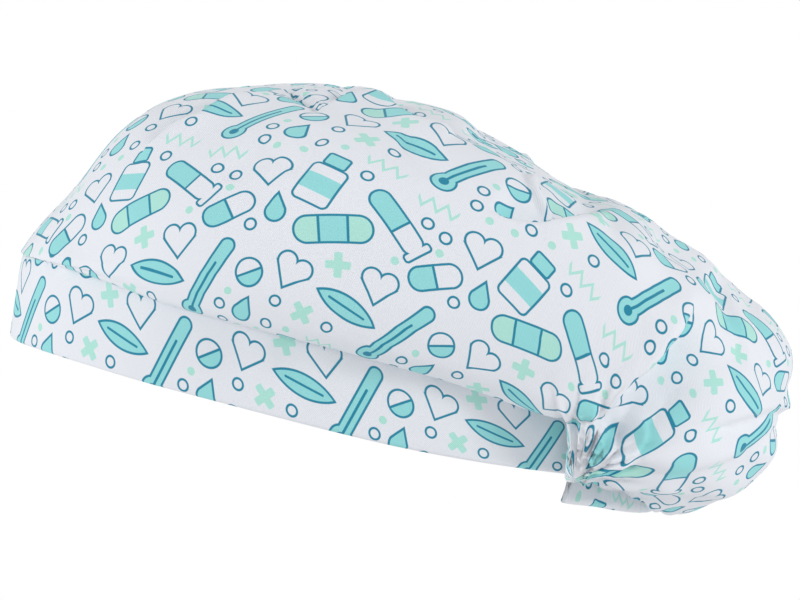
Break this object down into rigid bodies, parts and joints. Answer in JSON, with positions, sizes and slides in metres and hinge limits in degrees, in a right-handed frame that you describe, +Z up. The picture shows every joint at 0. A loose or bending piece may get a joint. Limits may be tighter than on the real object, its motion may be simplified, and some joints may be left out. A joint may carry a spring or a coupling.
{
  "type": "surgical scrub cap",
  "caption": "Bouffant cloth cap with a smooth forehead band, a loose pouch at the back and a gathered casing across the nape.",
  "frame": {"origin": "middle of the head opening, where the cap is worn", "axes": "+Z up, +Y towards the nape, +X towards the wearer's left"},
  "size_m": [0.1896, 0.2707, 0.1498],
  "materials": {
    "crown_cloth": "matt printed twill",
    "band_cloth": "matt printed twill, two layers",
    "casing_cloth": "matt printed twill, gathered"
  },
  "bodies": {
    "root": {"crown": "crown_cloth", "band": "band_cloth", "nape_casing": "casing_cloth"}
  },
  "joints": []
}
